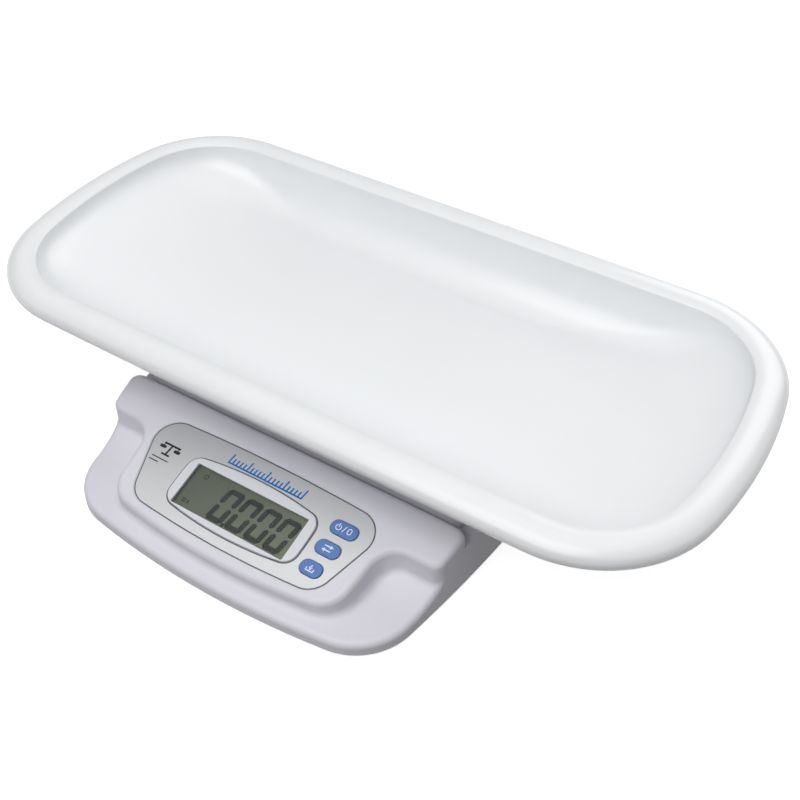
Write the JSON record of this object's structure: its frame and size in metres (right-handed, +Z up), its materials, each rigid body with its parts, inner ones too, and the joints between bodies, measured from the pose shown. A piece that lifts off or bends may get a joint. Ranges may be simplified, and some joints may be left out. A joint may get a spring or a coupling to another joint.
{
  "type": "digital baby weighing scale",
  "caption": "Digital baby scale: a long shallow tray with a rolled rim on a load-cell platform, in a housing with a sloping display and key console.",
  "frame": {"origin": "on the table under the middle of the whole scale's footprint", "axes": "+X along the tray, +Y from the console to the back, +Z up; the reader looks along +Y"},
  "size_m": [0.5746, 0.3458, 0.1095],
  "materials": {
    "tray_plastic": "satin-gloss moulded white",
    "housing_plastic": "fine satin, cool white",
    "platform_plastic": "fine satin, cool white",
    "screw_steel": "zinc plated",
    "foot_rubber": "matt",
    "label_film": "bare silver label",
    "overlay_film": "fine texture film",
    "bezel_plastic": "satin",
    "clear_window": "clear acrylic",
    "lcd_glass": "grey-green reflective display",
    "inner_plastic": "moulded",
    "strip_rubber": "striped elastomer",
    "board_laminate": "green laminate",
    "chip_plastic": "black moulded",
    "zinc_steel": "zinc-plated sheet",
    "cell_aluminium": "milled",
    "cable_sheath": "grey sheath",
    "battery_jacket": "plain jacket",
    "spring_steel": "nickel plated",
    "button_plastic": "satin blue"
  },
  "bodies": {
    "base": {"upper_housing": "housing_plastic", "lower_housing": "housing_plastic", "housing_screws": "screw_steel", "rubber_feet": "foot_rubber", "rating_plate": "label_film", "overlay_panel": "overlay_film", "display_bezel": "bezel_plastic", "display_window": "clear_window", "lcd_panel": "lcd_glass", "lcd_holder": "inner_plastic", "contact_strips": "strip_rubber", "lcd_backlight": "inner_plastic", "key_switches": "inner_plastic", "main_board": "board_laminate", "board_screws": "screw_steel", "processor": "chip_plastic", "buzzer": "chip_plastic", "board_connector": "inner_plastic", "load_cell": "cell_aluminium", "load_cell_foot": "cell_aluminium", "fixed_end_bolts": "screw_steel", "load_cell_base": "zinc_steel", "base_screws": "screw_steel", "overload_stops": "screw_steel", "load_cell_lead": "cable_sheath", "batteries": "battery_jacket", "battery_contacts": "spring_steel", "power_socket": "chip_plastic"},
    "platform": {"platform_cover": "platform_plastic", "platform_spider": "zinc_steel", "platform_screws": "screw_steel", "platform_pads": "foot_rubber", "load_cell_head": "cell_aluminium", "free_end_bolts": "screw_steel"},
    "tray": {"tray": "tray_plastic"},
    "battery_door": {"battery_door": "housing_plastic"},
    "key_zero": {"button_zero": "button_plastic", "plunger_zero": "inner_plastic"},
    "key_mode": {"button_mode": "button_plastic", "plunger_mode": "inner_plastic"},
    "key_memory": {"button_memory": "button_plastic", "plunger_memory": "inner_plastic"}
  },
  "joints": [
    {"name": "platform_load", "type": "slide", "parent": "base", "child": "platform", "axis": [0, 0, -1], "range_m": [0, 0.001], "stiffness_N_per_m": 196000, "springref_m": -0.0001, "deforming": ["load_cell"]},
    {"name": "tray_lift", "type": "slide", "parent": "platform", "child": "tray", "axis": [0, 0, 1], "range_m": [0, 0.08]},
    {"name": "battery_door_slide", "type": "slide", "parent": "base", "child": "battery_door", "axis": [0, 1, 0], "range_m": [0, 0.055]},
    {"name": "zero_press", "type": "slide", "parent": "base", "child": "key_zero", "axis": [0, 0.2588, -0.9659], "range_m": [0, 0.0006], "stiffness_N_per_m": 1500},
    {"name": "mode_press", "type": "slide", "parent": "base", "child": "key_mode", "axis": [0, 0.2588, -0.9659], "range_m": [0, 0.0006], "stiffness_N_per_m": 1500},
    {"name": "memory_press", "type": "slide", "parent": "base", "child": "key_memory", "axis": [0, 0.2588, -0.9659], "range_m": [0, 0.0006], "stiffness_N_per_m": 1500}
  ]
}
